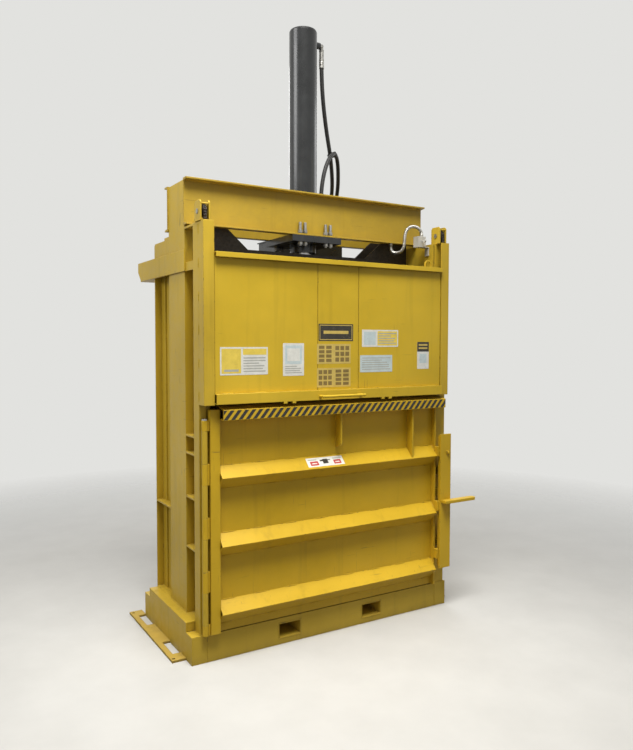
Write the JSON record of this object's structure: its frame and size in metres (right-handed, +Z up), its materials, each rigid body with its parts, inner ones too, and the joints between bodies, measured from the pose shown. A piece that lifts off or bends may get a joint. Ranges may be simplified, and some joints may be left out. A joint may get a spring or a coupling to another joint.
{
  "type": "recycling baler",
  "caption": "Vertical recycling baler: welded yellow steel frame with a swinging bale door, rising feed gate on chains, hydraulic press cylinder with platen, and a rear power unit.",
  "frame": {"origin": "centre of the four floor anchor holes, at floor level", "axes": "+Z up along the press cylinder; -Y towards the operator, the side with the door and gate; +X to the right as seen from the front"},
  "size_m": [1.9815, 1.169, 3.612],
  "materials": {
    "frame_paint": "worn gloss enamel",
    "door_paint": "worn gloss enamel, scuffed",
    "gate_paint": "worn gloss enamel",
    "floor_flange": "scraped enamel, dusty",
    "stiffener_paint": "worn gloss enamel",
    "crosshead_paint": "gloss enamel",
    "black_enamel": "gloss black enamel",
    "dark_steel": "dark greasy steel",
    "chain_steel": "oiled dark steel",
    "zinc": "zinc plated, dull",
    "rod_chrome": "polished hard chrome",
    "hose_rubber": "matte black hose cover",
    "grey_enamel": "satin grey enamel",
    "switch_plastic": "satin",
    "shoe_plastic": "matte",
    "conduit_metal": "dull ribbed metal"
  },
  "bodies": {
    "frame": {"base_beams": "frame_paint", "base_feet": "frame_paint", "base_side_rails": "frame_paint", "fork_tubes": "frame_paint", "chamber_floor": "frame_paint", "anchor_flanges": "floor_flange", "front_posts": "frame_paint", "side_wall_left": "frame_paint", "side_wall_right": "frame_paint", "side_stiffeners": "stiffener_paint", "columns": "frame_paint", "back_wall": "frame_paint", "back_frame": "frame_paint", "shelf_arms": "frame_paint", "crosshead_front": "crosshead_paint", "crosshead_rear": "crosshead_paint", "cylinder_mount_plate": "black_enamel", "mount_studs": "zinc", "cylinder_barrel": "black_enamel", "cylinder_gland": "black_enamel", "port_elbows": "zinc", "hose_cap_end": "hose_rubber", "hose_rod_end": "hose_rubber", "gate_guides": "frame_paint", "chain_housings": "frame_paint", "sheave_axles": "zinc", "chain_wraps": "chain_steel", "hinge_knuckles_post": "frame_paint", "hinge_rod": "zinc", "latch_staples": "frame_paint", "unit_shelf": "frame_paint", "oil_tank": "black_enamel", "pump_motor": "grey_enamel", "valve_block": "zinc", "starter_box": "grey_enamel", "interlock_switch": "switch_plastic", "switch_conduit": "conduit_metal"},
    "door": {"door_skin": "door_paint", "door_stiles": "door_paint", "door_ribs": "door_paint", "door_gussets": "door_paint", "door_sill": "door_paint", "door_hinge_knuckles": "door_paint", "latch_brackets": "door_paint"},
    "latch": {"latch_bar": "door_paint", "latch_handle": "door_paint"},
    "gate": {"gate_sheets": "gate_paint", "gate_frame": "gate_paint", "gate_handle": "gate_paint", "gate_shoes": "shoe_plastic", "chain_front_left": "chain_steel", "chain_front_right": "chain_steel"},
    "sheave_left": {"sheave_left": "dark_steel"},
    "sheave_right": {"sheave_right": "dark_steel"},
    "counterweight_left": {"counterweight_left": "dark_steel", "chain_rear_left": "chain_steel"},
    "counterweight_right": {"counterweight_right": "dark_steel", "chain_rear_right": "chain_steel"},
    "platen": {"platen": "dark_steel", "piston_rod": "rod_chrome"}
  },
  "joints": [
    {"name": "door_swing", "type": "hinge", "parent": "frame", "child": "door", "pos_m": [-0.805, -0.498, 0.7275], "axis": [0, 0, -1], "range_deg": [0, 135]},
    {"name": "latch_slide", "type": "slide", "parent": "door", "child": "latch", "axis": [0, 0, 1], "range_m": [-0.05, 0]},
    {"name": "gate_slide", "type": "slide", "parent": "frame", "child": "gate", "axis": [0, 0, 1], "range_m": [0, 0.65], "deforming": ["chain_front_left", "chain_front_right"]},
    {"name": "platen_slide", "type": "slide", "parent": "frame", "child": "platen", "axis": [0, 0, -1], "range_m": [0, 1.06]},
    {"name": "counterweight_left_slide", "type": "slide", "parent": "frame", "child": "counterweight_left", "axis": [0, 0, 1], "range_m": [-0.65, 0], "deforming": ["chain_rear_left"]},
    {"name": "sheave_left_spin", "type": "hinge", "parent": "frame", "child": "sheave_left", "pos_m": [-0.801, -0.47658, 2.385], "axis": [1, 0, 0], "range_deg": [-1120, 10]},
    {"name": "counterweight_right_slide", "type": "slide", "parent": "frame", "child": "counterweight_right", "axis": [0, 0, 1], "range_m": [-0.65, 0], "deforming": ["chain_rear_right"]},
    {"name": "sheave_right_spin", "type": "hinge", "parent": "frame", "child": "sheave_right", "pos_m": [0.801, -0.47658, 2.385], "axis": [1, 0, 0], "range_deg": [-1120, 10]}
  ],
  "couplings": [
    {"joint": "counterweight_left_slide", "follows": "gate_slide", "ratio": -1},
    {"joint": "sheave_left_spin", "follows": "gate_slide", "rad_per_m": -29.92},
    {"joint": "counterweight_right_slide", "follows": "gate_slide", "ratio": -1},
    {"joint": "sheave_right_spin", "follows": "gate_slide", "rad_per_m": -29.92}
  ]
}
